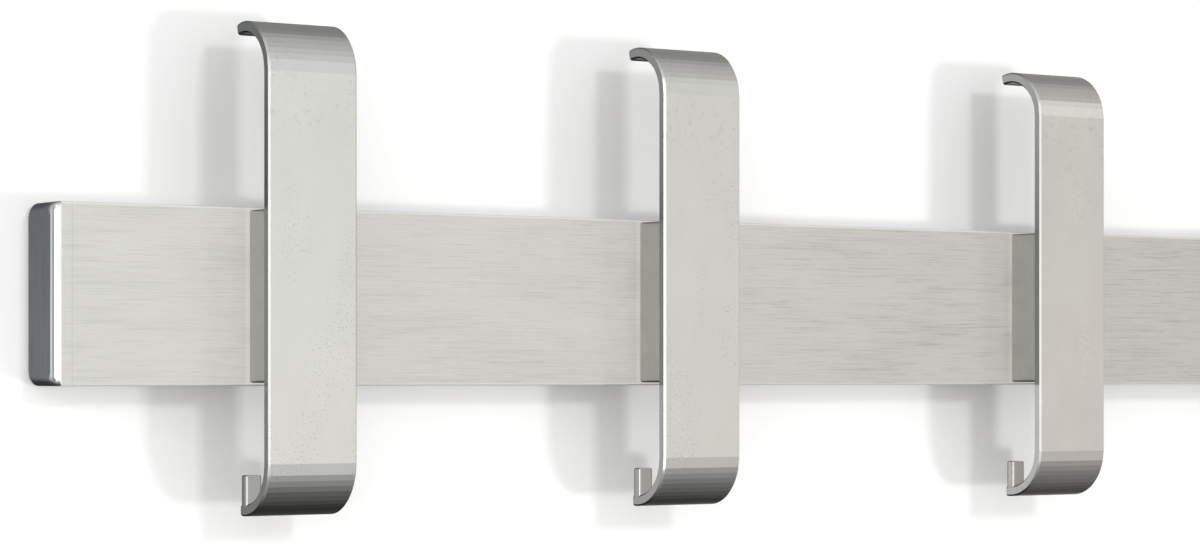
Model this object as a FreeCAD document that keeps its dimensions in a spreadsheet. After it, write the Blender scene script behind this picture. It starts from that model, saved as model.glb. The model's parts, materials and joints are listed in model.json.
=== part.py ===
import math
import os

import FreeCAD
import Part
import Sketcher

# Wall hook rack: an aluminium rail held on two hidden wall brackets, carrying four bent strip hooks.
# Frame: X along the rail, front towards -Y, wall plane at Y = 0, Z up with Z = 0 at rail mid-height.

os.makedirs("parts", exist_ok=True)
doc = FreeCAD.newDocument("wall_hook_rack")
V = FreeCAD.Vector

# ---------------------------------------------------------------- driving dimensions, mm and degrees
DIMENSIONS = {
    "rail_length": 590.0,
    "rail_height": 53.8,
    "rail_depth": 17.5,
    "rail_wall": 2.0,
    "rail_lip": 6.0,
    "rail_edge": 0.5,
    "cap_thick": 2.5,
    "cap_edge": 2.3,
    "plug_length": 10.0,
    "plug_wall": 1.8,
    "fit_gap": 0.25,
    "pitch_middle": 159.0,
    "pitch_outer": 142.75,
    "strip_width": 30.0,
    "strip_thick": 3.5,
    "strip_edge": 0.45,
    "bend_inner": 12.5,
    "top_bend_z": 66.4,
    "low_bend_z": 50.0,
    "top_bend_angle": 106.0,
    "low_end_reach": 17.8,
    "prong_width": 5.5,
    "prong_height": 12.3,
    "prong_round": 0.9,
    "block_width": 22.4,
    "block_height": 52.0,
    "block_depth": 15.7,
    "block_edge": 0.8,
    "stud_size": 4.0,
    "stud_spread": 22.0,
    "stud_length": 23.2,
    "stud_clear": 4.4,
    "washer_size": 9.0,
    "washer_hole": 4.3,
    "washer_thick": 0.8,
    "nut_flats": 7.0,
    "nut_thick": 3.2,
    "nut_hole": 4.2,
    "bracket_spread": 300.0,
    "bracket_width": 50.0,
    "bracket_plate": 2.0,
    "bracket_half": 17.5,
    "tongue_reach": 23.4,
    "foot_reach": 9.0,
    "wall_hole": 5.0,
    "wall_sink": 8.6,
    "lock_size": 4.0,
    "lock_inset": 6.2,
    "lock_length": 3.2,
    "lock_socket": 2.0,
}
dims = doc.addObject("Spreadsheet::Sheet", "dims")
for row, (alias, number) in enumerate(DIMENSIONS.items(), start=1):
    dims.set(f"A{row}", alias)
    dims.set(f"B{row}", str(number))
    dims.setAlias(f"B{row}", alias)
doc.recompute()

HOOKS = {
    1: "-dims.pitch_middle / 2 - dims.pitch_outer",
    2: "-dims.pitch_middle / 2",
    3: "dims.pitch_middle / 2",
    4: "dims.pitch_middle / 2 + dims.pitch_outer",
}
SIDES = {"left": -1, "right": 1}
ORIGIN = (-1, 1)
nodes = []


# ---------------------------------------------------------------- shared steps
def new_body(label, **place):
    """Body with its placement base bound to the sheet; it becomes a node under its label."""
    body = doc.addObject("PartDesign::Body", label)
    body.Label = label
    for axis, expression in place.items():
        body.setExpression(f".Placement.Base.{axis}", expression)
    nodes.append(body)
    return body


def new_sketch(body, name, role, offset=None):
    """Sketch on one of the body's own origin planes, pushed along the plane normal by an expression."""
    sketch = body.newObject("Sketcher::SketchObject", f"{body.Name}_{name}")
    plane = next(item for item in body.Origin.OriginFeatures if item.Role == role)
    sketch.AttachmentSupport = [(plane, "")]
    sketch.MapMode = "FlatFace"
    if offset:
        sketch.setExpression(".AttachmentOffset.Base.z", offset)
    return sketch


def bind(sketch, constraint, expression):
    """Add a dimensional constraint and drive it from the sheet."""
    index = sketch.addConstraint(constraint)
    sketch.setExpression(f"Constraints[{index}]", expression)


def polygon(sketch, corners):
    """Closed outline whose corners are pairs of sheet expressions measured from the sketch origin."""
    points = [V(measure(a), measure(b), 0) for a, b in corners]
    first = sketch.GeometryCount
    count = len(points)
    for k in range(count):
        sketch.addGeometry(Part.LineSegment(points[k], points[(k + 1) % count]), False)
    for k in range(count):
        sketch.addConstraint(Sketcher.Constraint("Coincident", first + k, 2, first + (k + 1) % count, 1))
    for k, (a, b) in enumerate(corners):
        bind(sketch, Sketcher.Constraint("DistanceX", *ORIGIN, first + k, 1, points[k].x), a)
        bind(sketch, Sketcher.Constraint("DistanceY", *ORIGIN, first + k, 1, points[k].y), b)


def rounded_box(sketch, middle, size, radius):
    """Rectangle with rounded corners; middle, size and radius are sheet expressions."""
    cx, cy = (measure(part) for part in middle)
    hx, hy = (measure(part) / 2 for part in size)
    r = measure(radius)
    first = sketch.GeometryCount
    signs = [(1, 1), (-1, 1), (-1, -1), (1, -1)]
    for k, (sx, sy) in enumerate(signs):
        centre = V(cx + sx * (hx - r), cy + sy * (hy - r), 0)
        start = k * math.pi / 2
        circle = Part.Circle(centre, V(0, 0, 1), r)
        sketch.addGeometry(Part.ArcOfCircle(circle, start, start + math.pi / 2), False)
    ends = [
        (V(cx + hx - r, cy + hy, 0), V(cx - hx + r, cy + hy, 0)),
        (V(cx - hx, cy + hy - r, 0), V(cx - hx, cy - hy + r, 0)),
        (V(cx - hx + r, cy - hy, 0), V(cx + hx - r, cy - hy, 0)),
        (V(cx + hx, cy - hy + r, 0), V(cx + hx, cy + hy - r, 0)),
    ]
    for k, (start, end) in enumerate(ends):
        sketch.addGeometry(Part.LineSegment(start, end), False)
        line = first + 4 + k
        sketch.addConstraint(Sketcher.Constraint("Tangent", first + k, 2, line, 1))
        sketch.addConstraint(Sketcher.Constraint("Tangent", line, 2, first + (k + 1) % 4, 1))
        sketch.addConstraint(Sketcher.Constraint("Vertical" if k % 2 else "Horizontal", line))
        if k:
            sketch.addConstraint(Sketcher.Constraint("Equal", first, first + k))
    bind(sketch, Sketcher.Constraint("Radius", first, r), radius)
    reach = [f"{m} - ({s}) / 2" for m, s in zip(middle, size)]
    bind(sketch, Sketcher.Constraint("DistanceX", *ORIGIN, first + 5, 1, cx - hx), reach[0])
    bind(sketch, Sketcher.Constraint("DistanceY", *ORIGIN, first + 6, 1, cy - hy), reach[1])
    bind(sketch, Sketcher.Constraint("DistanceX", first + 5, 1, first + 7, 1, 2 * hx), size[0])
    bind(sketch, Sketcher.Constraint("DistanceY", first + 6, 1, first + 4, 1, 2 * hy), size[1])


def circles(sketch, diameter, centres):
    """Equal circles at centres given as pairs of sheet expressions."""
    for a, b in centres:
        spot = V(measure(a), measure(b), 0)
        index = sketch.addGeometry(Part.Circle(spot, V(0, 0, 1), measure(diameter) / 2), False)
        bind(sketch, Sketcher.Constraint("Diameter", index, measure(diameter)), diameter)
        bind(sketch, Sketcher.Constraint("DistanceX", *ORIGIN, index, 3, spot.x), a)
        bind(sketch, Sketcher.Constraint("DistanceY", *ORIGIN, index, 3, spot.y), b)


def hexagons(sketch, flats, centres):
    """Regular hexagons with two flats parallel to the sketch X axis."""
    for a, b in centres:
        corners = []
        for k in range(6):
            angle = math.radians(60 * k)
            across = f"{a} + {flats} / sqrt(3) * {math.cos(angle):.6f}"
            along = f"{b} + {flats} / sqrt(3) * {math.sin(angle):.6f}"
            corners.append((across, along))
        polygon(sketch, corners)


def measure(expression):
    """Present value of a sheet expression."""
    return float(dims.evalExpression(expression.replace("dims.", "")))


def grow(body, kind, name, sketch, length, middle=False, reverse=False, through=False):
    """Pad or Pocket made from a sketch with its length bound to the sheet."""
    feature = body.newObject(f"PartDesign::{kind}", f"{body.Name}_{name}")
    feature.Profile = sketch
    feature.Reversed = reverse
    if through:
        feature.Type = "ThroughAll"
    else:
        feature.setExpression("Length", length)
    if middle:
        feature.SideType = "Symmetric"
    sketch.Visibility = False
    doc.recompute()
    return feature


def edges_where(feature, test):
    """Names of the edges of a feature that satisfy a test."""
    return [f"Edge{k}" for k, edge in enumerate(feature.Shape.Edges, start=1) if test(edge)]


def face_edges(feature, test):
    """Names of the edges that bound the faces satisfying a test."""
    wanted = [edge for face in feature.Shape.Faces if test(face) for edge in face.Edges]
    return edges_where(feature, lambda edge: any(edge.isSame(other) for other in wanted))


def dress(body, kind, name, base, names, size):
    """Fillet or Chamfer on named edges with its size bound to the sheet."""
    feature = body.newObject(f"PartDesign::{kind}", f"{body.Name}_{name}")
    feature.Base = (base, names)
    feature.setExpression("Radius" if kind == "Fillet" else "Size", size)
    doc.recompute()
    return feature


# ---------------------------------------------------------------- rail: open-backed channel extrusion
def make_rail():
    """C channel with inward lips at the back, stud holes in the web, lock-screw holes underneath."""
    body = new_body("rail_profile")
    half = "dims.rail_height / 2"
    wall = "dims.rail_wall"
    section = new_sketch(body, "section", "YZ_Plane")
    polygon(section, [
        ("0", half),
        ("-dims.rail_depth", half),
        ("-dims.rail_depth", f"-{half}"),
        ("0", f"-{half}"),
        ("0", f"-{half} + {wall} + dims.rail_lip"),
        (f"-{wall}", f"-{half} + {wall} + dims.rail_lip"),
        (f"-{wall}", f"-{half} + {wall}"),
        (f"-dims.rail_depth + {wall}", f"-{half} + {wall}"),
        (f"-dims.rail_depth + {wall}", f"{half} - {wall}"),
        (f"-{wall}", f"{half} - {wall}"),
        (f"-{wall}", f"{half} - {wall} - dims.rail_lip"),
        ("0", f"{half} - {wall} - dims.rail_lip"),
    ])
    channel = grow(body, "Pad", "channel", section, "dims.rail_length", middle=True)

    def outer_front(edge):
        box = edge.BoundBox
        return box.YMax < -measure("dims.rail_depth") + 0.01 and box.XLength > 1
    front_edges = edges_where(channel, outer_front)
    rounded = dress(body, "Fillet", "front_edges", channel, front_edges, "dims.rail_edge")

    stud_sketch = new_sketch(body, "stud_holes", "XZ_Plane", "dims.rail_depth")
    heights = ("dims.stud_spread / 2", "-dims.stud_spread / 2")
    spots = [(place, height) for place in HOOKS.values() for height in heights]
    circles(stud_sketch, "dims.stud_clear", spots)
    before = rounded.Shape.Volume
    holes = grow(body, "Pocket", "web_holes", stud_sketch, f"{wall} + 1")
    expected = 8 * math.pi * (measure("dims.stud_clear") / 2) ** 2 * measure(wall)
    assert abs(before - holes.Shape.Volume - expected) < 1.0

    lock_sketch = new_sketch(body, "lock_holes", "XY_Plane", f"-{half}")
    spots = [(f"{sign} * dims.bracket_spread / 2", "-dims.lock_inset") for sign in SIDES.values()]
    circles(lock_sketch, "dims.lock_size + 0.2", spots)
    before = holes.Shape.Volume
    cut = grow(body, "Pocket", "floor_holes", lock_sketch, f"{wall} + 1", reverse=True)
    expected = 2 * math.pi * (measure("dims.lock_size + 0.2") / 2) ** 2 * measure(wall)
    assert abs(before - cut.Shape.Volume - expected) < 1.0


# ---------------------------------------------------------------- end caps: rounded plate with a hollow plug
def make_cap(side, sign):
    """Cast cap flush with the rail; its plug slides into the channel end."""
    body = new_body(f"end_cap_{side}", x=f"{sign} * dims.rail_length / 2")
    plate_sketch = new_sketch(body, "plate", "YZ_Plane")
    half = "dims.rail_height / 2"
    polygon(plate_sketch, [
        ("0", half),
        ("-dims.rail_depth", half),
        ("-dims.rail_depth", f"-{half}"),
        ("0", f"-{half}"),
    ])
    plate = grow(body, "Pad", "plate_pad", plate_sketch, "dims.cap_thick", reverse=sign < 0)

    def outer_rim(edge):
        box = edge.BoundBox
        outer = box.XLength < 0.01 and abs(box.Center.x) > measure("dims.cap_thick") - 0.01
        return outer and box.YMin < -0.01
    rim = dress(body, "Fillet", "rim", plate, edges_where(plate, outer_rim), "dims.cap_edge")

    gap = "dims.fit_gap"
    wall = "dims.rail_wall"
    tall = f"dims.rail_height - 2 * {wall} - 2 * {gap}"
    deep = f"dims.rail_depth - 2 * {wall} - 2 * {gap}"
    plug_sketch = new_sketch(body, "plug", "YZ_Plane")
    rounded_box(plug_sketch, ("-dims.rail_depth / 2", "0"), (deep, tall), "0.8 * dims.plug_wall")
    inner = (f"{deep} - 2 * dims.plug_wall", f"{tall} - 2 * dims.plug_wall")
    rounded_box(plug_sketch, ("-dims.rail_depth / 2", "0"), inner, "0.4 * dims.plug_wall")
    before = rim.Shape.Volume
    plug = grow(body, "Pad", "plug_pad", plug_sketch, "dims.plug_length", reverse=sign > 0)
    assert plug.Shape.Volume > before + 100

    def entry(edge):
        return abs(abs(edge.BoundBox.Center.x) - measure("dims.plug_length")) < 0.01
    dress(body, "Chamfer", "lead_in", plug, edges_where(plug, entry), "0.4")


# ---------------------------------------------------------------- hook: one bent strip with two prongs
def hook_outline(sketch):
    """Side outline of the bent strip, drawn from its front face backwards."""
    inner = measure("dims.bend_inner")
    outer = inner + measure("dims.strip_thick")
    top = measure("dims.top_bend_z")
    low = -measure("dims.low_bend_z")
    reach = measure("dims.low_end_reach")
    stop = math.pi - math.radians(measure("dims.top_bend_angle"))
    up = V(0, 0, 1)
    top_centre = V(outer, top, 0)
    low_centre = V(outer, low, 0)

    def on_arc(radius):
        return top_centre + V(radius * math.cos(stop), radius * math.sin(stop), 0)
    shapes = [
        Part.LineSegment(V(0, low, 0), V(0, top, 0)),
        Part.ArcOfCircle(Part.Circle(top_centre, up, outer), stop, math.pi),
        Part.LineSegment(on_arc(outer), on_arc(inner)),
        Part.ArcOfCircle(Part.Circle(top_centre, up, inner), stop, math.pi),
        Part.LineSegment(V(outer - inner, top, 0), V(outer - inner, low, 0)),
        Part.ArcOfCircle(Part.Circle(low_centre, up, inner), math.pi, 1.5 * math.pi),
        Part.LineSegment(V(outer, low - inner, 0), V(reach, low - inner, 0)),
        Part.LineSegment(V(reach, low - inner, 0), V(reach, low - outer, 0)),
        Part.LineSegment(V(reach, low - outer, 0), V(outer, low - outer, 0)),
        Part.ArcOfCircle(Part.Circle(low_centre, up, outer), math.pi, 1.5 * math.pi),
    ]
    for shape in shapes:
        sketch.addGeometry(shape, False)
    front, top_out, tip, top_in, back, low_in, ledge, low_end, under, low_out = range(10)
    start, end, centre = 1, 2, 3
    rule = Sketcher.Constraint
    for kind, first, a, second, b in (
        ("Tangent", front, end, top_out, end),
        ("Coincident", top_out, start, tip, start),
        ("Coincident", tip, end, top_in, start),
        ("Tangent", top_in, end, back, start),
        ("Tangent", back, end, low_in, start),
        ("Tangent", low_in, end, ledge, start),
        ("Coincident", ledge, end, low_end, start),
        ("Coincident", low_end, end, under, start),
        ("Tangent", under, end, low_out, end),
        ("Tangent", low_out, start, front, start),
        ("Coincident", top_out, centre, top_in, centre),
        ("Coincident", low_out, centre, low_in, centre),
    ):
        sketch.addConstraint(rule(kind, first, a, second, b))
    for kind, shape in (
        ("Vertical", front),
        ("Vertical", back),
        ("Vertical", low_end),
        ("Horizontal", ledge),
        ("Horizontal", under),
    ):
        sketch.addConstraint(rule(kind, shape))
    sketch.addConstraint(rule("PointOnObject", front, start, -2))
    sketch.addConstraint(rule("PointOnObject", top_out, centre, tip))
    bind(sketch, rule("Radius", top_in, inner), "dims.bend_inner")
    bind(sketch, rule("Radius", top_out, outer), "dims.bend_inner + dims.strip_thick")
    bind(sketch, rule("Radius", low_out, outer), "dims.bend_inner + dims.strip_thick")
    bind(sketch, rule("DistanceY", *ORIGIN, top_out, centre, top), "dims.top_bend_z")
    bind(sketch, rule("DistanceY", *ORIGIN, low_out, centre, low), "-dims.low_bend_z")
    bind(sketch, rule("DistanceX", *ORIGIN, low_end, start, reach), "dims.low_end_reach")
    drop = measure("dims.strip_thick") * math.sin(stop)
    tip_height = "dims.strip_thick * sin(dims.top_bend_angle * 1 deg)"
    bind(sketch, rule("DistanceY", tip, end, tip, start, drop), tip_height)


def make_hook(number, place):
    """Flat bar bent back over the rail and into a J below it, prongs standing on the J end."""
    body = new_body(f"hook_{number}", x=place, y="-dims.rail_depth - dims.block_depth - dims.strip_thick")
    outline = new_sketch(body, "outline", "YZ_Plane")
    hook_outline(outline)
    strip = grow(body, "Pad", "strip", outline, "dims.strip_width", middle=True)
    sides = face_edges(strip, lambda face: abs(face.normalAt(0, 0).x) > 0.999)
    eased = dress(body, "Chamfer", "long_edges", strip, sides, "dims.strip_edge")

    ledge = "-dims.low_bend_z - dims.bend_inner"
    prong_sketch = new_sketch(body, "prongs", "XY_Plane", f"{ledge} - dims.strip_thick / 2")
    for sign in SIDES.values():
        middle = (
            f"{sign} * (dims.strip_width - dims.prong_width) / 2",
            "dims.low_end_reach - dims.strip_thick / 2",
        )
        rounded_box(prong_sketch, middle, ("dims.prong_width", "dims.strip_thick"), "dims.prong_round")
    before = eased.Shape.Volume
    tall = "dims.prong_height - dims.strip_thick / 2"
    prongs = grow(body, "Pad", "prong_pair", prong_sketch, tall)
    assert prongs.Shape.Volume > before + 200

    def prong_top(face):
        flat = face.Surface.isPlanar() and face.normalAt(0, 0).z > 0.999
        return flat and measure(ledge) + 1 < face.BoundBox.ZMin < 0
    dress(body, "Chamfer", "prong_tops", prongs, face_edges(prongs, prong_top), "0.3")


# ---------------------------------------------------------------- stand-off block between strip and rail
def stud_places():
    """Centres of the two stud holes of one hook, one above the other."""
    return [("0", "dims.stud_spread / 2"), ("0", "-dims.stud_spread / 2")]


def make_block(number, place):
    """Drilled aluminium block holding the strip clear of the rail."""
    body = new_body(f"standoff_block_{number}", x=place, y="-dims.rail_depth")
    outline = new_sketch(body, "outline", "XZ_Plane")
    rounded_box(outline, ("0", "0"), ("dims.block_width", "dims.block_height"), "dims.block_edge")
    block = grow(body, "Pad", "block", outline, "dims.block_depth")
    hole_sketch = new_sketch(body, "holes", "XZ_Plane", "dims.block_depth")
    circles(hole_sketch, "dims.stud_clear", stud_places())
    before = block.Shape.Volume
    bored = grow(body, "Pocket", "bores", hole_sketch, "", through=True)
    expected = 2 * math.pi * (measure("dims.stud_clear") / 2) ** 2 * measure("dims.block_depth")
    assert abs(before - bored.Shape.Volume - expected) < 1.0


# ---------------------------------------------------------------- hook fasteners: welded studs, washers, nuts
def make_fasteners(number, place):
    """Two studs behind the strip with a washer and a nut each inside the rail."""
    back = "-dims.rail_depth - dims.block_depth"
    web = "-dims.rail_depth + dims.rail_wall"

    studs = new_body(f"weld_studs_{number}", x=place, y=back)
    stud_sketch = new_sketch(studs, "shanks", "XZ_Plane")
    circles(stud_sketch, "dims.stud_size", stud_places())
    shanks = grow(studs, "Pad", "shank_pair", stud_sketch, "dims.stud_length", reverse=True)

    def stud_end(edge):
        return edge.BoundBox.YMin > measure("dims.stud_length") - 0.01
    dress(studs, "Chamfer", "points", shanks, edges_where(shanks, stud_end), "0.5")

    washers = new_body(f"stud_washers_{number}", x=place, y=web)
    ring_sketch = new_sketch(washers, "rings", "XZ_Plane")
    circles(ring_sketch, "dims.washer_size", stud_places())
    circles(ring_sketch, "dims.washer_hole", stud_places())
    grow(washers, "Pad", "ring_pair", ring_sketch, "dims.washer_thick", reverse=True)

    nuts = new_body(f"hex_nuts_{number}", x=place, y=f"{web} + dims.washer_thick")
    hex_sketch = new_sketch(nuts, "hexes", "XZ_Plane")
    hexagons(hex_sketch, "dims.nut_flats", stud_places())
    circles(hex_sketch, "dims.nut_hole", stud_places())
    grow(nuts, "Pad", "nut_pair", hex_sketch, "dims.nut_thick", reverse=True)


# ---------------------------------------------------------------- wall brackets and their lock screws
def make_bracket(side, sign):
    """Pressed hat-section plate; its tongues catch in front of the rail lips."""
    body = new_body(f"wall_bracket_{side}", x=f"{sign} * dims.bracket_spread / 2")
    plate = "dims.bracket_plate"
    step = f"-dims.rail_wall - dims.fit_gap"
    half = "dims.bracket_half"
    reach = "dims.tongue_reach"
    section = new_sketch(body, "section", "YZ_Plane")
    polygon(section, [
        ("0", half),
        (step, half),
        (step, reach),
        (f"{step} - {plate}", reach),
        (f"{step} - {plate}", f"{half} - {plate}"),
        (f"-{plate}", f"{half} - {plate}"),
        (f"-{plate}", f"-{half} + {plate}"),
        (f"{step} - {plate}", f"-{half} + {plate}"),
        (f"{step} - {plate}", f"-{reach} + {plate}"),
        ("-dims.foot_reach", f"-{reach} + {plate}"),
        ("-dims.foot_reach", f"-{reach}"),
        (step, f"-{reach}"),
        (step, f"-{half}"),
        ("0", f"-{half}"),
    ])
    plate_pad = grow(body, "Pad", "plate", section, "dims.bracket_width", middle=True)

    hole_sketch = new_sketch(body, "hole", "XZ_Plane", plate)
    circles(hole_sketch, "dims.wall_hole", [("0", "0")])
    hole = body.newObject("PartDesign::Hole", f"{body.Name}_wall_hole")
    hole.Profile = hole_sketch
    doc.recompute()
    hole.DepthType = "ThroughAll"
    hole.Threaded = False
    hole.setExpression("Diameter", "dims.wall_hole")
    hole.HoleCutType = "Countersink"
    hole.HoleCutCustomValues = True
    hole.setExpression("HoleCutDiameter", "dims.wall_sink")
    hole.HoleCutCountersinkAngle = 90
    doc.recompute()
    straight = math.pi * (measure("dims.wall_hole") / 2) ** 2 * measure(plate)
    assert plate_pad.Shape.Volume - hole.Shape.Volume > straight + 10


def make_lock(side, sign):
    """Socket set screw threaded up through the rail floor against the bracket foot."""
    body = new_body(
        f"lock_screw_{side}",
        x=f"{sign} * dims.bracket_spread / 2",
        y="-dims.lock_inset",
        z="-dims.tongue_reach - dims.lock_length",
    )
    shank_sketch = new_sketch(body, "shank", "XY_Plane")
    circles(shank_sketch, "dims.lock_size", [("0", "0")])
    shank = grow(body, "Pad", "shank_pad", shank_sketch, "dims.lock_length")
    socket_sketch = new_sketch(body, "socket", "XY_Plane")
    hexagons(socket_sketch, "dims.lock_socket", [("0", "0")])
    before = shank.Shape.Volume
    socket = grow(body, "Pocket", "socket_cut", socket_sketch, "dims.lock_length * 0.55", reverse=True)
    assert socket.Shape.Volume < before - 2


make_rail()
for side, sign in SIDES.items():
    make_cap(side, sign)
    make_bracket(side, sign)
    make_lock(side, sign)
for number, place in HOOKS.items():
    make_hook(number, place)
    make_block(number, place)
    make_fasteners(number, place)
doc.recompute()

for item in doc.Objects:
    assert not {"Invalid", "Error"} & set(item.State), f"{item.Name}: {item.State}"
for node in nodes:
    shape = node.Shape
    assert not shape.isNull() and shape.isValid() and shape.Solids, node.Label
    shape.exportStep(f"parts/{node.Label}.step")
    box = shape.BoundBox
    print(f"{node.Label:22s} solids {len(shape.Solids)} x {box.XMin:8.2f} {box.XMax:8.2f} "
          f"y {box.YMin:7.2f} {box.YMax:7.2f} z {box.ZMin:7.2f} {box.ZMax:7.2f}")
print("nodes", len(nodes))
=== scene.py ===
import json
import math

import bmesh
import bpy
from mathutils import Matrix, Vector

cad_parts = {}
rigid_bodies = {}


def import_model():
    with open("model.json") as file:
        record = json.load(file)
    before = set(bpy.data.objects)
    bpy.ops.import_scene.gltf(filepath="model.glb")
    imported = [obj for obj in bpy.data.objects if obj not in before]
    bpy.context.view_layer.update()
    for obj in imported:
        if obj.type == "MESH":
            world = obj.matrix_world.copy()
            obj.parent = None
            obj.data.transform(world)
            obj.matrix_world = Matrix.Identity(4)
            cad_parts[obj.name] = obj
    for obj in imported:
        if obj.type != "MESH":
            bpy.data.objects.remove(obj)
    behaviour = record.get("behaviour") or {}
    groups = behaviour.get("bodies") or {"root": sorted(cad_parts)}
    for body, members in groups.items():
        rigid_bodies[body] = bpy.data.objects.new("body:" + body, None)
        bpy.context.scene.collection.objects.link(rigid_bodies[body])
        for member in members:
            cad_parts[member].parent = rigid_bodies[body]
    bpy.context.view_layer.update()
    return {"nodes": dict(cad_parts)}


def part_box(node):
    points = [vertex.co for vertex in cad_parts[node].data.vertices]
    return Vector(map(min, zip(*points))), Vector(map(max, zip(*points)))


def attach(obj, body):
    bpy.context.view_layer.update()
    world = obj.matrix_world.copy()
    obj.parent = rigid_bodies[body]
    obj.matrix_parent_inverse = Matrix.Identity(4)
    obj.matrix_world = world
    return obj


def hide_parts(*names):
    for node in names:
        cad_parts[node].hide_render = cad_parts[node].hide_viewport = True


for leftover in list(bpy.data.objects):
    bpy.data.objects.remove(leftover)
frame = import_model()
nodes = frame["nodes"]
scene = bpy.context.scene


# ---------------------------------------------------------------- the wall, the floor and the studio round them
# The rack hangs on a plain white painted wall, well above a pale floor. Neither is part of the rack.
# Two small lamps throw its shadows on the wall and a panel on the left fills them. The metal shows a sky
# that darkens downwards, backwards and to the sides, with a tall panel on the left and a weak one on the right.
class Wire:
    """A socket that can be used in sums; each operator adds one Math node."""

    def __init__(self, graph, socket):
        self.graph = graph
        self.socket = socket

    def maths(self, operation, *values):
        return self.graph.node("ShaderNodeMath", {"operation": operation}, dict(enumerate(values)))

    def __add__(self, other):
        return self.maths("ADD", self, other)

    __radd__ = __add__

    def __sub__(self, other):
        return self.maths("SUBTRACT", self, other)

    def __rsub__(self, other):
        return self.maths("SUBTRACT", other, self)

    def __mul__(self, other):
        return self.maths("MULTIPLY", self, other)

    __rmul__ = __mul__

    def above(self, other):
        return self.maths("GREATER_THAN", self, other)


class Graph:
    """A node tree filled one node at a time."""

    def __init__(self, tree):
        self.tree = tree
        self.tree.nodes.clear()

    def node(self, kind, settings=None, sockets=None, output=0):
        made = self.tree.nodes.new(kind)
        for name, value in (settings or {}).items():
            if name == "stops":
                ramp = made.color_ramp.elements
                while len(ramp) < len(value):
                    ramp.new(1.0)
                for stop, (place, colour) in zip(ramp, value):
                    stop.position = place
                    stop.color = (*colour, 1.0) if isinstance(colour, tuple) else (colour, colour, colour, 1.0)
            else:
                setattr(made, name, value)
        for key, value in (sockets or {}).items():
            if isinstance(key, int):
                socket = made.inputs[key]
            else:
                socket = next(s for s in made.inputs if s.enabled and key in (s.identifier, s.name))
            if isinstance(value, Wire):
                self.tree.links.new(value.socket, socket)
            else:
                socket.default_value = value
        if not made.outputs:
            return None
        if isinstance(output, int):
            return Wire(self, made.outputs[output])
        return Wire(self, next(s for s in made.outputs if s.enabled and output in (s.identifier, s.name)))

    def parts(self, vector):
        """The three numbers of a vector."""
        split = self.node("ShaderNodeSeparateXYZ", None, {0: vector}).socket.node
        return [Wire(self, split.outputs[k]) for k in range(3)]

    def ramp(self, value, *stops):
        return self.node("ShaderNodeValToRGB", {"stops": stops}, {0: value})

    def tint(self, base, colour, amount, blend="MIX"):
        """One colour laid over another, by a number or a mask."""
        colours = {"Factor_Float": amount, "A_Color": base, "B_Color": colour}
        return self.node("ShaderNodeMix", {"data_type": "RGBA", "blend_type": blend}, colours, "Result_Color")


wall_paint = bpy.data.materials.new("wall_paint")
wall_paint.use_nodes = True
paint = Graph(wall_paint.node_tree)
WALL_WHITE = (0.82, 0.82, 0.82, 1.0)
surface = paint.node("ShaderNodeBsdfDiffuse", None, {"Color": WALL_WHITE})
behind = paint.node("ShaderNodeNewGeometry", output="Backfacing")
seen = paint.node("ShaderNodeMixShader", None, {0: behind, 1: surface, 2: paint.node("ShaderNodeBsdfTransparent")})
paint.node("ShaderNodeOutputMaterial", None, {"Surface": seen})


def stage_sheet(name, corners):
    """One flat painted sheet of the studio, facing the way its corners turn."""
    mesh = bpy.data.meshes.new(name)
    mesh.from_pydata(corners, [], [(0, 1, 2, 3)])
    mesh.materials.append(wall_paint)
    sheet = bpy.data.objects.new(name, mesh)
    scene.collection.objects.link(sheet)
    return sheet


ROOM = 3.0  # half the width of the studio, in metres
WALL_GAP = 0.0006
FLOOR_Z = -1.3
wall = stage_sheet("wall", [(-ROOM, WALL_GAP, FLOOR_Z), (ROOM, WALL_GAP, FLOOR_Z),
                            (ROOM, WALL_GAP, ROOM), (-ROOM, WALL_GAP, ROOM)])
# Metal shows the sky in place of the wall and the floor, and light from behind passes through the wall.
wall.visible_glossy = False
wall.visible_shadow = False
floor = stage_sheet("floor", [(-ROOM, -ROOM, FLOOR_Z), (ROOM, -ROOM, FLOOR_Z),
                              (ROOM, ROOM, FLOOR_Z), (-ROOM, ROOM, FLOOR_Z)])
floor.visible_glossy = False

studio = bpy.data.worlds.new("studio")
scene.world = studio
studio.use_nodes = True
sky = Graph(studio.node_tree)
across, back, up = sky.parts(sky.node("ShaderNodeTexCoord", output="Generated"))
SKY_LEVEL = 1.0
# The ramps run low to high, level to straight back, back and down to back and up, and left to right.
by_height = sky.ramp(
    up * 0.5 + 0.5, (0.0, 0.06), (0.085, 0.14), (0.127, 0.24), (0.182, 0.33), (0.245, 0.43), (0.32, 0.56),
    (0.40, 0.78), (0.445, (1.02, 0.99, 0.98)), (0.48, (1.09, 1.05, 1.03)), (0.53, (1.02, 1.02, 1.02)),
    (0.615, 0.93), (0.675, 0.87), (0.775, 0.78), (0.855, 0.70), (0.91, 0.58), (1.0, 0.5))
by_depth = sky.ramp(
    back, (0.0, 1.0), (0.6, 0.93), (0.72, 0.80), (0.78, 0.62), (0.84, (0.41, 0.425, 0.44)),
    (0.875, (0.285, 0.30, 0.315)), (0.9, (0.10, 0.108, 0.117)), (1.0, (0.10, 0.105, 0.11)))
by_lid = sky.ramp(
    up * back.maths("MAXIMUM", back, 0.0) * 0.5 + 0.5, (0.2, 0.12), (0.33, 0.14), (0.365, 0.24), (0.38, 0.38),
    (0.45, 0.68), (0.4775, 0.8), (0.5, 1.0), (0.5225, 0.78), (0.55, 0.68), (0.62, 0.54), (0.65, 0.50), (0.75, 0.3))
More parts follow.
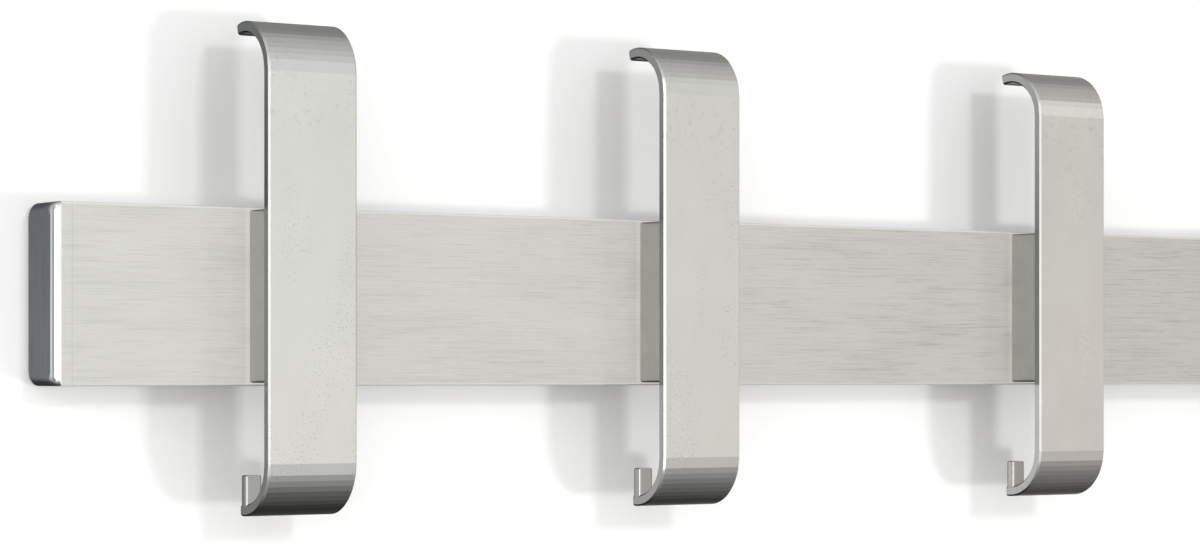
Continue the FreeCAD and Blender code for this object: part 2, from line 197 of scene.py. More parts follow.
by_side = sky.ramp(
    across * 0.5 + 0.5, (0.0, 0.33), (0.017, 0.45), (0.047, 0.62), (0.09, 0.98), (0.13, 1.14), (0.69, 1.14),
    (0.7135, 1.10), (0.7425, 1.0), (0.794, (0.927, 0.899, 0.895)), (0.835, (0.859, 0.821, 0.798)),
    (0.88, (0.72, 0.68, 0.65)), (1.0, (0.5, 0.47, 0.44)))
behind_glow = sky.tint(by_depth, by_lid, 1.0, "MULTIPLY")
glow = sky.tint(sky.tint(by_height, behind_glow, 1.0, "MULTIPLY"), by_side, 1.0, "MULTIPLY")
lit = sky.node("ShaderNodeBackground", None, {"Color": glow, "Strength": SKY_LEVEL})
plain = sky.node("ShaderNodeBackground", None, {"Color": (1.0, 1.0, 1.0, 1.0), "Strength": 1.0})
eye = sky.node("ShaderNodeLightPath", output="Is Camera Ray")
shown = sky.node("ShaderNodeMixShader", None, {0: eye, 1: lit, 2: plain})
sky.node("ShaderNodeOutputWorld", None, {"Surface": shown})

# name: degrees right of the rack's front, degrees up, distance, width, height, watts, colour, on what it shows
LAMPS = {
    "lamp_low_right": (28.0, -10.0, 4.0, 0.46, 0.46, 40.0, (1.0, 1.0, 0.99), "matt"),
    "lamp_high": (1.0, 18.0, 3.0, 0.34, 0.34, 16.0, (1.0, 1.0, 1.0), "matt"),
    "panel_fill": (-52.0, 12.0, 1.5, 1.2, 1.2, 5.6, (1.0, 1.0, 1.0), "matt"),
    "panel_glint": (46.0, 22.0, 2.4, 0.55, 0.9, 0.5, (1.0, 0.98, 0.93), "gloss"),
    "panel_left": (-57.0, 4.0, 1.8, 0.42, 1.6, 3.6, (1.0, 1.0, 1.0), "gloss"),
    "panel_behind": (180.0, 14.0, 2.2, 1.0, 0.8, 12.0, (1.0, 1.0, 1.0), "matt"),
}
for name, (turn, rise, reach, wide, tall, watts, colour, shows_on) in LAMPS.items():
    light = bpy.data.lights.new(name, "AREA")
    light.shape = "RECTANGLE"
    light.size = wide
    light.size_y = tall
    light.energy = watts
    light.color = colour
    turn, rise = math.radians(turn), math.radians(rise)
    way = Vector((math.sin(turn) * math.cos(rise), -math.cos(turn) * math.cos(rise), math.sin(rise)))
    lamp = bpy.data.objects.new(name, light)
    lamp.location = way * reach
    lamp.rotation_euler = way.to_track_quat("Z", "Y").to_euler()
    lamp.visible_camera = False
    lamp.visible_glossy = shows_on != "matt"
    lamp.visible_diffuse = shows_on != "gloss"
    scene.collection.objects.link(lamp)

CAMERA_PLACE = (-0.6991, -0.8984, -0.0241)
CAMERA_TURN = -33.93
FOCAL_LENGTH = 98.8
SENSOR_WIDTH = 36.0
SHIFT_UP = 0.0842
lens = bpy.data.cameras.new("camera")
lens.lens = FOCAL_LENGTH
lens.sensor_width = SENSOR_WIDTH
lens.shift_y = SHIFT_UP
camera = bpy.data.objects.new("camera", lens)
camera.location = CAMERA_PLACE
camera.rotation_euler = (math.radians(90.0), 0.0, math.radians(CAMERA_TURN))
scene.collection.objects.link(camera)
scene.camera = camera
scene.view_settings.view_transform = "Standard"


# ---------------------------------------------------------------- rail
# One length of extruded aluminium channel, open at the back with two inward lips. Its outside is brushed
# along its length and clear anodised; the inside keeps the plain lines of the extrusion die.
MM = 0.001
RAIL_INNER_FRONT = -15.4 * MM
RAIL_INNER_TOP = 24.95 * MM
RAIL_EDGE = 26.2 * MM
RAIL_RIM = 26.55 * MM
LIT_LINE_WIDTH = 1.5 * MM
END_LINE_X = 291.5 * MM
END_LINE_HALF = 0.3 * MM


class Finish(Graph):
    """A procedural material of one metal, wired from coordinates in metres."""

    def __init__(self, name):
        self.material = bpy.data.materials.new(name)
        self.material.use_nodes = True
        super().__init__(self.material.node_tree)
        self.place = self.node("ShaderNodeTexCoord", output="Object")

    def noise(self, scale, stretch=(1.0, 1.0, 1.0), detail=2.0, rough=0.5, shift=0.0):
        """Cloudy numbers near one half; scale is per metre and stretch multiplies it on each axis."""
        size = tuple(scale * part for part in stretch)
        place = self.node("ShaderNodeMapping", None, {"Vector": self.place, "Location": (shift,) * 3, "Scale": size})
        return self.node("ShaderNodeTexNoise", None,
                         {"Vector": place, "Scale": 1.0, "Detail": detail, "Roughness": rough})

    def metal(self, colour, roughness, metallic, relief=None, depth=0.0, **constants):
        """Closes the tree with one metal shader; depth is the height of the relief in metres."""
        sockets = {"Base Color": colour, "Roughness": roughness, "Metallic": metallic}
        sockets.update(constants)
        if relief is not None:
            bump = {"Height": relief, "Distance": depth, "Strength": 1.0}
            sockets["Normal"] = self.node("ShaderNodeBump", None, bump)
        body = self.node("ShaderNodeBsdfPrincipled", None, sockets)
        self.node("ShaderNodeOutputMaterial", None, {"Surface": body})
        return self.material


def clad(node, material):
    """Gives every slot of a CAD node the same finish."""
    for k in range(len(node.material_slots)):
        node.material_slots[k].material = material


brushed = Finish("rail_brushed")
x, y, z = brushed.parts(brushed.place)
long_lines = brushed.noise(1.0, (70.0, 4200.0, 4200.0), 2.0, 0.6)
fine_lines = brushed.noise(1.0, (260.0, 5200.0, 5200.0), 2.0, 0.7, 3.7)
patches = brushed.noise(24.0, (1.0, 3.0, 3.0), 3.0, 0.55, 8.1)
# Painted shade: the face is darker towards the right end. It is also scratched more there.
rightward_shade_and_wear = brushed.ramp(x + 0.5, (0.2, 0.15), (0.45, 0.5), (0.5, 0.85), (0.8, 1.0))
scored = brushed.ramp(long_lines + (patches - 0.5) * 0.2, (0.36, 1.0), (0.44, 0.0)) * (rightward_shade_and_wear * 0.7 + 0.3)
lines = long_lines * 0.45 + fine_lines * 0.55
from_level = z.maths("ABSOLUTE", z)
edge_highlight = from_level.above(RAIL_EDGE)
rim = from_level.above(RAIL_RIM)
satin = brushed.ramp(lines * 0.75 + patches * 0.25, (0.36, (0.67, 0.675, 0.645)), (0.64, (0.75, 0.755, 0.725)))
# Scratches darken the face, and painted shade darkens it more towards the right.
satin = brushed.tint(satin, (0.42, 0.415, 0.39, 1.0), scored * 0.32 + rightward_shade_and_wear * 0.26)
# Painted highlight: the face is lighter along its top and bottom edges.
satin = brushed.tint(satin, (0.86, 0.86, 0.83, 1.0), edge_highlight * 0.6)
die_lines = brushed.noise(1.0, (2.0, 1100.0, 1100.0), 3.0, 0.6, 1.3)
mill = brushed.ramp(die_lines, (0.3, (0.46, 0.465, 0.46)), (0.7, (0.6, 0.6, 0.59)))
inside = y.above(RAIL_INNER_FRONT) * (1.0 - from_level.above(RAIL_INNER_TOP))
# Painted highlight: the face is lighter in a narrow line beside each block, and it has a faint darker line near each
# end.
from_middle = x.maths("ABSOLUTE", x)
for number in (1, 2):
    block_low, block_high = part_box(f"standoff_block_{number}")
    block_x, reach = abs(block_low.x + block_high.x) / 2, (block_high.x - block_low.x) / 2 + LIT_LINE_WIDTH
    painted_light_beside_block = 1.0 - from_middle.maths("ABSOLUTE", from_middle - block_x).above(reach)
    # Painted highlight: a lighter line beside each block.
    satin = brushed.tint(satin, (0.84, 0.84, 0.81, 1.0), painted_light_beside_block * 0.32)
end_line = 1.0 - from_middle.maths("ABSOLUTE", from_middle - END_LINE_X).above(END_LINE_HALF)
satin = brushed.tint(satin, (0.42, 0.415, 0.39, 1.0), end_line * 0.16)
brushed.metal(brushed.tint(satin, mill, inside), 0.36 + lines * 0.1 + scored * 0.1, 0.86 - rim * 0.35,
              lines - scored * 0.5 + (die_lines - 0.5) * inside * 6.0, 0.000002)
clad(nodes["rail_profile"], brushed.material)


# ---------------------------------------------------------------- end caps
# Die-cast caps, ground and polished on the outside. Each has a plate as tall as the rail with its outer rim
# rounded over, and a hollow plug that is pressed into the end of the channel.
CAP_PLATE = 2.5 * MM
CAP_ROUND = 2.3 * MM
PLUG_GAP = 2.25 * MM
PLUG_WALL = 1.8 * MM
PLUG_CORNER = 1.4 * MM
CAP_CORNER = 0.5 * MM
CAP_FRONT_CORNER = 1.5 * MM
CAP_BACK_CORNER = 2.4 * MM
CAP_STEPS = 10


def new_piece(name, mesh, material, stands_for):
    """Puts a finished mesh in the scene as one piece of the rack."""
    mesh.materials.clear()
    mesh.materials.append(material)
    piece = bpy.data.objects.new(name, mesh)
    scene.collection.objects.link(piece)
    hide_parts(*stands_for)
    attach(piece, "root")
    return piece


def into_mesh(shape, name, smooth_below=30.0, flat_over=6e-6):
    """Turns a bmesh into a mesh that shades smoothly except on large flats and over sharp edges."""
    bmesh.ops.recalc_face_normals(shape, faces=shape.faces)
    for face in shape.faces:
        face.smooth = face.calc_area() < flat_over
    for edge_highlight in shape.edges:
        edge_highlight.smooth = len(edge_highlight.link_faces) == 2 and edge_highlight.calc_face_angle() < math.radians(smooth_below)
    mesh = bpy.data.meshes.new(name)
    shape.to_mesh(mesh)
    shape.free()
    return mesh


def loop_of(shape, x_place, low, high, front_corner, back_corner, steps=5):
    """Ring of points round an upright rectangle across the rail, with its corners rounded."""
    ring = []
    for k, (sign_y, sign_z, corner) in enumerate((
            (1, 1, back_corner), (-1, 1, front_corner), (-1, -1, front_corner), (1, -1, back_corner))):
        edge_y, edge_z = (high.y if sign_y > 0 else low.y), (high.z if sign_z > 0 else low.z)
        if not corner:
            ring.append(shape.verts.new((x_place, edge_y, edge_z)))
            continue
        for j in range(steps + 1):
            turn = math.radians(90.0 * k + 90.0 * j / steps)
            ring.append(shape.verts.new((x_place, edge_y - sign_y * corner + corner * math.cos(turn),
                                         edge_z - sign_z * corner + corner * math.sin(turn))))
    return ring


def join_rings(shape, first, second):
    for k in range(len(first)):
        near = (k + 1) % len(first)
        shape.faces.new((first[k], first[near], second[near], second[k]))


def cap_mesh(name, low, high, outward):
    """Plate with its outer rim rolled over on three sides, and the plug behind it."""
    shape = bmesh.new()
    face_x = high.x if outward > 0 else low.x
    plate_x = face_x - outward * CAP_PLATE
    plate = [loop_of(shape, plate_x, low, high, CAP_CORNER, CAP_BACK_CORNER)]
    for k in range(CAP_STEPS + 1):
        turn = math.radians(90.0 * k / CAP_STEPS)
        inset = CAP_ROUND * (1.0 - math.cos(turn))
        ring_low = low + Vector((0.0, inset, inset))
        ring_high = high - Vector((0.0, 0.0, inset))
        ring_x = face_x - outward * CAP_ROUND * (1.0 - math.sin(turn))
        plate.append(loop_of(shape, ring_x, ring_low, ring_high, CAP_FRONT_CORNER + inset * 0.35, CAP_BACK_CORNER))
    for first, second in zip(plate, plate[1:]):
        join_rings(shape, first, second)
    shape.faces.new(plate[0])
    shape.faces.new(plate[-1])
    plug_low = Vector((0.0, low.y + PLUG_GAP, low.z + PLUG_GAP))
    plug_high = Vector((0.0, high.y - PLUG_GAP, high.z - PLUG_GAP))
    thick = Vector((0.0, PLUG_WALL, PLUG_WALL))
    root_x = plate_x + outward * 0.4 * MM
    end_x = low.x if outward > 0 else high.x
    lead = 0.4 * MM
    slim = Vector((0.0, lead, lead))
    rings = [
        loop_of(shape, place, ring_low, ring_high, corner, corner)
        for place, ring_low, ring_high, corner in (
            (root_x, plug_low, plug_high, PLUG_CORNER),
            (end_x + outward * lead, plug_low, plug_high, PLUG_CORNER),
            (end_x, plug_low + slim, plug_high - slim, PLUG_CORNER - lead),
            (end_x, plug_low + thick, plug_high - thick, PLUG_CORNER / 2),
            (root_x, plug_low + thick, plug_high - thick, PLUG_CORNER / 2))
    ]
    for k in range(len(rings)):
        join_rings(shape, rings[k], rings[(k + 1) % len(rings)])
    return into_mesh(shape, name)


polished = Finish("cap_polished")
streaks = polished.noise(1.0, (900.0, 900.0, 45.0), 2.0, 0.6)
haze = polished.noise(70.0, (1.0, 1.0, 1.0), 3.0, 0.5, 5.0)
cap_colour = polished.ramp(streaks * 0.7 + haze * 0.3, (0.35, (0.82, 0.84, 0.86)), (0.65, (0.90, 0.92, 0.94)))
polished.metal(cap_colour, 0.10 + haze * 0.06 + streaks * 0.03, 0.97, streaks, 0.0000004)
for label, outward in (("left", -1), ("right", 1)):
    low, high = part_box(f"end_cap_{label}")
    mesh = cap_mesh(f"cap_{label}", low, high, outward)
    new_piece(f"cap_{label}", mesh, polished.material, [f"end_cap_{label}"])


# ---------------------------------------------------------------- wall brackets and lock screws
# Galvanised steel pressings screwed to the wall, with tongues that catch in front of the rail's lips.
# A black socket set screw in the floor of the rail bears on each bracket's foot and locks the rail.
galvanised = Finish("bracket_galvanised")
crystal = galvanised.node("ShaderNodeTexVoronoi", None, {"Vector": galvanised.place, "Scale": 260.0}, "Color")
crystal_tone = galvanised.parts(crystal)[0]
bloom = galvanised.noise(45.0, (1.0, 1.0, 1.0), 4.0, 0.6)
zinc_tone = galvanised.ramp(crystal_tone * 0.6 + bloom * 0.4, (0.2, (0.47, 0.49, 0.5)), (0.8, (0.64, 0.655, 0.665)))
galvanised.metal(zinc_tone, 0.32 + crystal_tone * 0.18, 0.85, bloom, 0.00003)
for label in ("left", "right"):
    clad(nodes[f"wall_bracket_{label}"], galvanised.material)

SCREW_ROOT = 0.18
SCREW_PITCH = 0.7 * MM


def threaded_rows(radius, start, end, pitch, depth, plain_end=None, sides=28):
    """Rings of a screw thread along Y: a ridge that climbs one pitch for each turn."""
    rows = []
    count = max(2, round(abs(end - start) / (pitch / 6)))
    for k in range(count + 1):
        along = start + (end - start) * k / count
        row = []
        for j in range(sides):
            turn = j / sides
            phase = (along / pitch - turn) % 1.0
            cut = depth * (1.0 - 2.0 * abs(phase - 0.5))
            if plain_end is not None and along < plain_end:
                cut = 0.0
            reach = radius - cut
            row.append((reach * math.cos(turn * math.tau), along, reach * math.sin(turn * math.tau)))
        rows.append(row)
    return rows


def skin_rows(shape, rows):
    """Closed tube through rows of points; returns its rings."""
    rings = [[shape.verts.new(point) for point in row] for row in rows]
    for first, second in zip(rings, rings[1:]):
        join_rings(shape, first, second)
    return rings


def disc_row(radius, along, sides=28):
    return [(radius * math.cos(math.tau * j / sides), along, radius * math.sin(math.tau * j / sides))
            for j in range(sides)]


def lock_mesh(name, low, high):
    """Set screw standing upright, with a hexagon socket in its lower end."""
    sides = 24
    radius = (high.x - low.x) / 2
    length = high.z - low.z
    lead = 0.35 * MM
    rows = [disc_row(radius - lead, 0.0, sides)]
    rows += threaded_rows(radius, lead, length - lead, SCREW_PITCH, SCREW_ROOT * MM * 1.6, sides=sides)
    rows += [disc_row(radius - lead, length, sides)]
    shape = bmesh.new()
    rings = skin_rows(shape, rows)
    shape.faces.new(rings[-1])
    flats = 2.0 * MM

    def hexagon(along, size):
        points = []
        for j in range(sides):
            turn = math.tau * j / sides
            folded = (turn + math.pi / 6) % (math.pi / 3) - math.pi / 6
            reach = size / 2 / math.cos(folded)
            points.append((reach * math.cos(turn), along, reach * math.sin(turn)))
        return points
    socket = [[shape.verts.new(p) for p in hexagon(along, size)]
              for along, size in ((0.0, flats + 0.1 * MM), (0.1 * MM, flats), (1.7 * MM, flats))]
    join_rings(shape, rings[0], socket[0])
    join_rings(shape, socket[0], socket[1])
    join_rings(shape, socket[1], socket[2])
    shape.faces.new(socket[2])
    middle = (low + high) / 2
    stand = Matrix.Translation((middle.x, middle.y, low.z)) @ Matrix.Rotation(math.radians(90.0), 4, "X")
    shape.transform(stand)
    return into_mesh(shape, name)


blacked = Finish("lock_black_oxide")
oil = blacked.noise(900.0, (1.0, 1.0, 1.0), 3.0, 0.6)
worn = blacked.ramp(oil, (0.45, (0.035, 0.035, 0.038)), (0.62, (0.06, 0.058, 0.056)), (0.75, (0.16, 0.155, 0.15)))
blacked.metal(worn, 0.36 + oil * 0.2, 0.6, oil, 0.000006)
for label in ("left", "right"):
    low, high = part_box(f"lock_screw_{label}")
    mesh = lock_mesh(f"lock_{label}", low, high)
    new_piece(f"lock_{label}", mesh, blacked.material, [f"lock_screw_{label}"])


# ---------------------------------------------------------------- stand-off blocks
# Short lengths of drawn aluminium bar, cut, milled on their long sides and drilled for the studs. They hold
# the strips clear of the rail. Neither they nor the strips are mirrored in the rail's brushed face.
milled = Finish("block_milled")
tool_marks = milled.noise(1.0, (300.0, 2600.0, 60.0), 2.0, 0.6)
stain = milled.noise(120.0, (1.0, 1.0, 1.0), 3.0, 0.5, 2.0)
block_tone = milled.ramp(tool_marks * 0.6 + stain * 0.4, (0.35, (0.44, 0.44, 0.412)), (0.65, (0.515, 0.515, 0.48)))
milled.metal(block_tone, 0.34 + tool_marks * 0.14, 0.9, tool_marks, 0.00001)
for number in range(1, 5):
    shape = bmesh.new()
    shape.from_mesh(nodes[f"standoff_block_{number}"].data)
    bmesh.ops.remove_doubles(shape, verts=shape.verts, dist=0.001 * MM)
    mesh = into_mesh(shape, f"block_{number}", 20.0, 1e-6)
    block = new_piece(f"block_{number}", mesh, milled.material, [f"standoff_block_{number}"])
    block.visible_glossy = False


# ---------------------------------------------------------------- hooks
# Each hook is one length of stainless flat bar with its long edges broken to a narrow flat. Both ends are
# bump-formed in a press brake in many small strokes, which leaves fine flats round the bends. The lower
# end is notched so that two prongs stand up at its corners. The faces are ground, and a few stains remain.
STRIP_THICK = 3.5 * MM
STRIP_EDGE = 0.55 * MM
BEND_INNER = 12.5 * MM
TOP_BEND_Z = 66.4 * MM
LOW_BEND_Z = -50.0 * MM
TOP_BEND_ANGLE = 106.0
LOW_END_REACH = 17.8 * MM
STROKE = 90.0 / 14  # degrees turned by one stroke of the press
STRUCK_FLAT = 4e-6  # square metres; larger faces are flats and are shaded flat
PRONG_WIDTH = 5.5 * MM
PRONG_TOP = -53.7 * MM
PRONG_ROUND = 0.9 * MM
BEHIND_STRIP = -28.0 * MM
FACES_AXIS = 0.9  # a face looks along an axis when its normal has at least this much of it


class Growth(Graph):
    """A geometry tree with named sizes, whose result is taken off as a plain mesh."""

    def __init__(self, name, sizes):
        super().__init__(bpy.data.node_groups.new(name, "GeometryNodeTree"))
        face = self.tree.interface
        face.new_socket("Geometry", in_out="OUTPUT", socket_type="NodeSocketGeometry")
        face.new_socket("Geometry", in_out="INPUT", socket_type="NodeSocketGeometry")
        for label, kind in sizes.items():
            face.new_socket(label, in_out="INPUT", socket_type=f"NodeSocket{kind}")
        self.entry = self.tree.nodes.new("NodeGroupInput")
        self.exit = self.tree.nodes.new("NodeGroupOutput")

    def given(self, label):
        return Wire(self, self.entry.outputs[label])

    def close(self, geometry):
        """Ends the tree in real geometry that carries the chosen material."""
        real = self.node("GeometryNodeRealizeInstances", None, {"Geometry": geometry})
        dressed = self.node("GeometryNodeSetMaterial", None, {"Geometry": real, "Material": self.given("Finish")})
        self.tree.links.new(dressed.socket, self.exit.inputs["Geometry"])

    def grow(self, name, seed_mesh, sizes):
        """Runs the tree on a mesh and returns the plain mesh that comes out."""
        carrier = bpy.data.objects.new(name, seed_mesh)
        scene.collection.objects.link(carrier)
        modifier = carrier.modifiers.new(name, "NODES")
        modifier.node_group = self.tree
        for item in self.tree.interface.items_tree:
            if item.item_type == "SOCKET" and item.in_out == "INPUT" and item.name in sizes:
                modifier[item.identifier] = sizes[item.name]
        bpy.context.view_layer.update()
        graph = bpy.context.evaluated_depsgraph_get()
        mesh = bpy.data.meshes.new_from_object(carrier.evaluated_get(graph), depsgraph=graph)
        mesh.name = name
        carrier.modifiers.clear()
        bpy.data.objects.remove(carrier)
        return mesh


bent_bar = Growth("bent_bar", {
    "Width": "Float", "Thickness": "Float", "Edge": "Float",
    "Prong Width": "Float", "Prong Round": "Float", "Finish": "Material"})
is_prong = bent_bar.node("GeometryNodeInputNamedAttribute", {"data_type": "FLOAT"}, {"Name": "prong"})
taper = bent_bar.node("GeometryNodeInputNamedAttribute", {"data_type": "FLOAT"}, {"Name": "taper"})
lines_in = bent_bar.node("GeometryNodeMeshToCurve", None, {"Mesh": bent_bar.given("Geometry")})
prong_lines = bent_bar.node("GeometryNodeSeparateGeometry", {"domain": "POINT"},
                            {"Geometry": lines_in, "Selection": is_prong})
bar_line = Wire(bent_bar, prong_lines.socket.node.outputs["Inverted"])
bar_section = bent_bar.node("GeometryNodeCurvePrimitiveQuadrilateral", None,
                            {"Width": bent_bar.given("Width"), "Height": bent_bar.given("Thickness")})
bar_section = bent_bar.node("GeometryNodeFilletCurve", {"mode": "POLY"},
                            {"Curve": bar_section, "Count": 1, "Radius": bent_bar.given("Edge")})
bar = bent_bar.node("GeometryNodeCurveToMesh", None,
                    {"Curve": bar_line, "Profile Curve": bar_section, "Fill Caps": True})
prong_section = bent_bar.node("GeometryNodeCurvePrimitiveQuadrilateral", None,
                              {"Width": bent_bar.given("Prong Width"), "Height": bent_bar.given("Thickness")})
prong_section = bent_bar.node("GeometryNodeFilletCurve", {"mode": "POLY"},
                              {"Curve": prong_section, "Count": 6, "Radius": bent_bar.given("Prong Round")})
prongs = bent_bar.node("GeometryNodeCurveToMesh", None, {
    "Curve": prong_lines, "Profile Curve": prong_section, "Scale": taper, "Fill Caps": True})
bar = bent_bar.node("GeometryNodeSetShadeSmooth", None, {"Geometry": bar, "Shade Smooth": False})
hook_parts = bent_bar.node("GeometryNodeJoinGeometry", None, {"Geometry": bar})
bent_bar.tree.links.new(prongs.socket, hook_parts.socket.node.inputs["Geometry"])
bent_bar.close(hook_parts)


def hook_lines(name, middle_x, front_y, half_width):
    """Centre line of the bar from its top tip to its lower end, and the centre line of each prong."""
    centre_y = front_y + BEND_INNER + STRIP_THICK
    radius = BEND_INNER + STRIP_THICK / 2
    points = []
    # The stroke next to the straight part turns twice as far as the others.
    strokes = round(TOP_BEND_ANGLE / STROKE)
    for k in list(range(strokes - 1)) + [strokes]:
        turn = math.radians(TOP_BEND_ANGLE * (1.0 - k / strokes))
        points.append((middle_x, centre_y - radius * math.cos(turn), TOP_BEND_Z + radius * math.sin(turn)))
    strokes = round(90.0 / STROKE)
    for k in [0] + list(range(2, strokes + 1)):
        turn = math.radians(90.0 * k / strokes)
        points.append((middle_x, centre_y - radius * math.cos(turn), LOW_BEND_Z - radius * math.sin(turn)))
    points.append((middle_x, front_y + LOW_END_REACH, LOW_BEND_Z - radius))
    bar_count = len(points)
    edges = [(k, k + 1) for k in range(bar_count - 1)]
    tapers = [1.0] * bar_count
    prong_y = front_y + LOW_END_REACH - STRIP_THICK / 2
    for sign in (-1, 1):
        prong_x = middle_x + sign * (half_width - PRONG_WIDTH / 2)
        for height, taper_here in ((LOW_BEND_Z - radius, 1.0), (PRONG_TOP - 0.3 * MM, 1.0), (PRONG_TOP, 0.86)):
            points.append((prong_x, prong_y, height))
            tapers.append(taper_here)
        edges += [(len(points) - 3, len(points) - 2), (len(points) - 2, len(points) - 1)]
    mesh = bpy.data.meshes.new(name)
    mesh.from_pydata(points, edges, [])
    prong_mark = mesh.attributes.new("prong", "FLOAT", "POINT")
    taper_mark = mesh.attributes.new("taper", "FLOAT", "POINT")
    for k in range(len(points)):
        prong_mark.data[k].value = float(k >= bar_count)
        taper_mark.data[k].value = tapers[k]
    return mesh


ground = Finish("hook_ground")
_, y, z = ground.parts(ground.place)
scratches = ground.noise(1.0, (160.0, 2600.0, 2600.0), 2.0, 0.7)
cloud = ground.noise(55.0, (1.0, 1.0, 0.6), 3.0, 0.55, 4.0)
smear = ground.noise(420.0, (1.0, 1.0, 1.2), 4.0, 0.65, 9.0)
specks = ground.noise(1450.0, (1.0, 1.0, 1.0), 1.0, 0.5, 6.0)
where_specks = ground.noise(60.0, (1.0, 1.0, 0.4), 2.0, 0.5, 12.0)
smudged = ground.ramp(z * 10.0, (0.42, 0.0), (0.53, 1.0), (0.64, 1.0), (0.7, 0.0))
smudge = ground.ramp(smear, (0.56, 0.0), (0.66, 1.0)) * smudged
speck = ground.ramp(specks, (0.61, 0.0), (0.665, 1.0)) * ground.ramp(where_specks, (0.49, 0.0), (0.57, 1.0))
marks = smudge * 0.5 + speck * 0.75
tone = ground.ramp(scratches * 0.15 + cloud * 0.85, (0.36, (0.645, 0.655, 0.625)), (0.64, (0.68, 0.69, 0.66)))
tone = ground.tint(tone, (0.45, 0.455, 0.44, 1.0), marks * 0.42)
sideways, outwards, _ = ground.parts(ground.node("ShaderNodeNewGeometry", output="Normal"))
# Painted shadow: faces that look forward from behind the strip, such as the fronts of the prongs, are darker.
painted_strip_shadow = (0.0 - outwards).above(FACES_AXIS) * y.above(BEHIND_STRIP)
tone = ground.tint(tone, (0.36, 0.36, 0.345, 1.0), painted_strip_shadow)
# Painted shade: the strip's cut long sides are much darker over the rail's height, darker above it fading upwards,
# and near their own tone below.
cut_face = sideways.maths("ABSOLUTE", sideways).above(FACES_AXIS)
painted_side_shade = ground.ramp(z * 5.0 + 0.5, (0.0, 0.95), (0.363, 1.0), (0.3665, 0.38), (0.6335, 0.36), (0.637, 0.44),
                     (0.9, 0.88))
tone = ground.tint(tone, painted_side_shade, cut_face, "MULTIPLY")
ground.metal(tone, 0.18 + cloud * 0.05 + marks * 0.06, 1.0, scratches, 0.000001)
for number in range(1, 5):
    low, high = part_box(f"hook_{number}")
    middle_x, half_width = (low.x + high.x) / 2, (high.x - low.x) / 2
    seed_mesh = hook_lines(f"hook_lines_{number}", middle_x, low.y, half_width)
    mesh = bent_bar.grow(f"bar_hook_{number}", seed_mesh, {
        "Width": half_width * 2, "Thickness": STRIP_THICK, "Edge": STRIP_EDGE,
        "Prong Width": PRONG_WIDTH, "Prong Round": PRONG_ROUND, "Finish": ground.material})
    mesh.set_sharp_from_angle(angle=math.radians(25.0))
    for face in mesh.polygons:
        face.use_smooth = face.area < STRUCK_FLAT
    hook = new_piece(f"bar_hook_{number}", mesh, ground.material, [f"hook_{number}"])
    hook.visible_glossy = False


# ---------------------------------------------------------------- studs, washers and nuts
# Two zinc-plated studs are welded to the back of each strip. They pass through the block and the rail's
# front wall and take a washer and a hexagon nut each, inside the channel.
STUD_SPREAD = 22.0 * MM
STUD_PITCH = 0.7 * MM
STUD_THREAD = 13.0 * MM
STUD_LEAD = 0.5 * MM
NUT_FLATS = 7.0 * MM
NUT_BORE = 3.6 * MM
WASHER_HOLE = 4.3 * MM
WASHER_ROUND = 0.15 * MM

on_studs = Growth("on_studs", {
    "Count": "Int", "First Place": "Vector", "Step": "Vector", "Seed": "Int", "Turn": "Float", "Finish": "Material"})
stations = on_studs.node("GeometryNodeMeshLine", {"mode": "OFFSET"}, {
    "Count": on_studs.given("Count"), "Start Location": on_studs.given("First Place"),
    "Offset": on_studs.given("Step")})
spin = on_studs.node("FunctionNodeRandomValue", {"data_type": "FLOAT"}, {
    "Min_001": 0.0, "Max_001": on_studs.given("Turn"), "Seed": on_studs.given("Seed")}, "Value_001")
spin = on_studs.node("ShaderNodeCombineXYZ", None, {"Y": spin})
spin = on_studs.node("FunctionNodeEulerToRotation", None, {0: spin})
on_studs.close(on_studs.node("GeometryNodeInstanceOnPoints", None, {
    "Points": stations, "Instance": on_studs.given("Geometry"), "Rotation": spin}))


def stud_mesh(length, radius):
    """Stud from the strip backwards, threaded over its far end."""
    start = length - STUD_THREAD
    rows = [disc_row(radius, 0.0), disc_row(radius, start)]
    rows += threaded_rows(radius, start + STUD_PITCH / 2, length - STUD_LEAD, STUD_PITCH, SCREW_ROOT * MM * 2)
    rows += [disc_row(radius - STUD_LEAD, length)]
    shape = bmesh.new()
    rings = skin_rows(shape, rows)
    shape.faces.new(rings[0])
    shape.faces.new(rings[-1])
    return into_mesh(shape, "stud", 40.0)


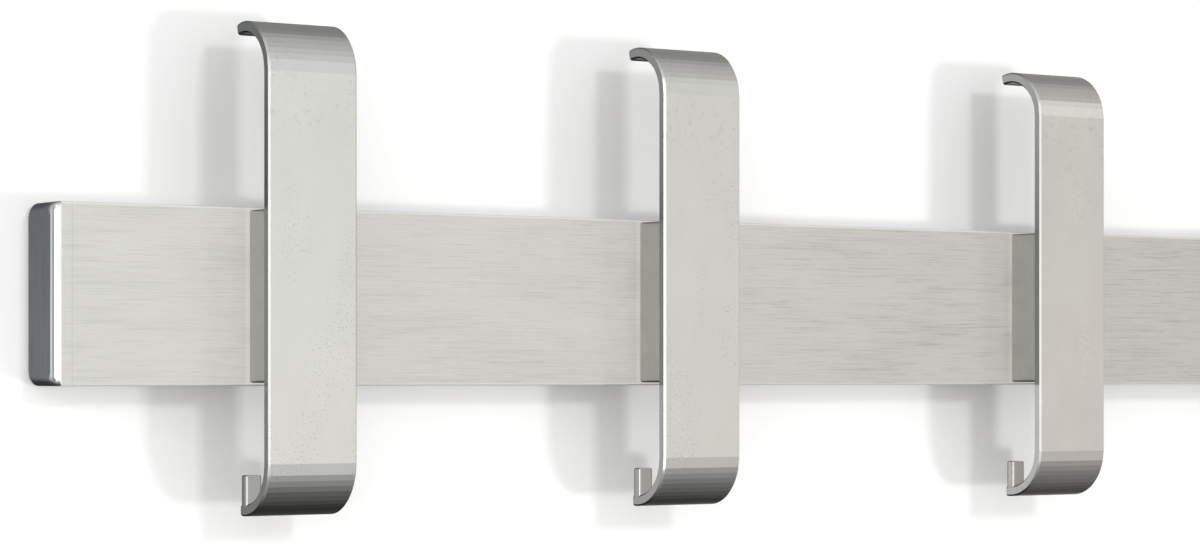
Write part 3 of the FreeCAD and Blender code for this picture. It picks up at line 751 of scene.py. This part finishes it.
def nut_mesh(thick):
    """Hexagon nut with its corners turned off on both sides and a countersunk bore."""
    sides = 48
    flat = NUT_FLATS / 2

    def row(radius_at, along_at):
        points = []
        for j in range(sides):
            turn = math.tau * j / sides
            folded = (turn + math.pi / 6) % (math.pi / 3) - math.pi / 6
            corner = flat / math.cos(folded)
            points.append((radius_at(corner) * math.cos(turn), along_at(corner), radius_at(corner) * math.sin(turn)))
        return points

    def turned(corner):
        return (corner - flat * 0.96) * math.tan(math.radians(30.0))
    bore, mouth, dip = NUT_BORE / 2, NUT_BORE / 2 + 0.3 * MM, 0.3 * MM
    rows = [
        row(lambda corner: bore, lambda corner: dip),
        row(lambda corner: mouth, lambda corner: 0.0),
        row(lambda corner: flat * 0.96, lambda corner: 0.0),
        row(lambda corner: corner, turned),
        row(lambda corner: corner, lambda corner: thick - turned(corner)),
        row(lambda corner: flat * 0.96, lambda corner: thick),
        row(lambda corner: mouth, lambda corner: thick),
        row(lambda corner: bore, lambda corner: thick - dip),
    ]
    shape = bmesh.new()
    rings = skin_rows(shape, rows)
    join_rings(shape, rings[-1], rings[0])
    return into_mesh(shape, "nut", 25.0)


def washer_mesh(thick, radius):
    """Stamped ring with its edges slightly rolled over."""
    hole, roll = WASHER_HOLE / 2, WASHER_ROUND
    rows = [
        disc_row(hole + roll, 0.0, 40), disc_row(radius - roll, 0.0, 40), disc_row(radius, roll, 40),
        disc_row(radius, thick - roll, 40), disc_row(radius - roll, thick, 40), disc_row(hole + roll, thick, 40),
        disc_row(hole, thick - roll, 40), disc_row(hole, roll, 40),
    ]
    shape = bmesh.new()
    rings = skin_rows(shape, rows)
    join_rings(shape, rings[-1], rings[0])
    return into_mesh(shape, "washer", 50.0)


plated = Finish("fastener_zinc")
spots = plated.noise(700.0, (1.0, 1.0, 1.0), 3.0, 0.6)
hue = plated.noise(130.0, (1.0, 1.0, 1.0), 2.0, 0.5, 3.0)
plate_tone = plated.tint(plated.ramp(spots, (0.35, (0.52, 0.53, 0.54)), (0.65, (0.66, 0.67, 0.675))),
                         (0.6, 0.58, 0.48, 1.0), plated.ramp(hue, (0.45, 0.0), (0.7, 0.5)))
plated.metal(plate_tone, 0.26 + spots * 0.16, 0.92, spots, 0.000005)
for number in range(1, 5):
    for part, label, turn in (("weld_studs", "studs", 0.0), ("stud_washers", "washers", math.tau),
                              ("hex_nuts", "nuts", math.tau)):
        low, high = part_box(f"{part}_{number}")
        length, radius = high.y - low.y, (high.x - low.x) / 2
        if label == "studs":
            pattern = stud_mesh(length, radius)
        elif label == "washers":
            pattern = washer_mesh(length, radius)
        else:
            pattern = nut_mesh(length)
        mesh = on_studs.grow(f"{label}_{number}", pattern, {
            "Count": 2, "First Place": ((low.x + high.x) / 2, low.y, -STUD_SPREAD / 2),
            "Step": (0.0, 0.0, STUD_SPREAD), "Seed": 10 * number, "Turn": turn, "Finish": plated.material})
        new_piece(f"{label}_{number}", mesh, plated.material, [f"{part}_{number}"])


# ---------------------------------------------------------------- last update of the scene
bpy.context.view_layer.update()
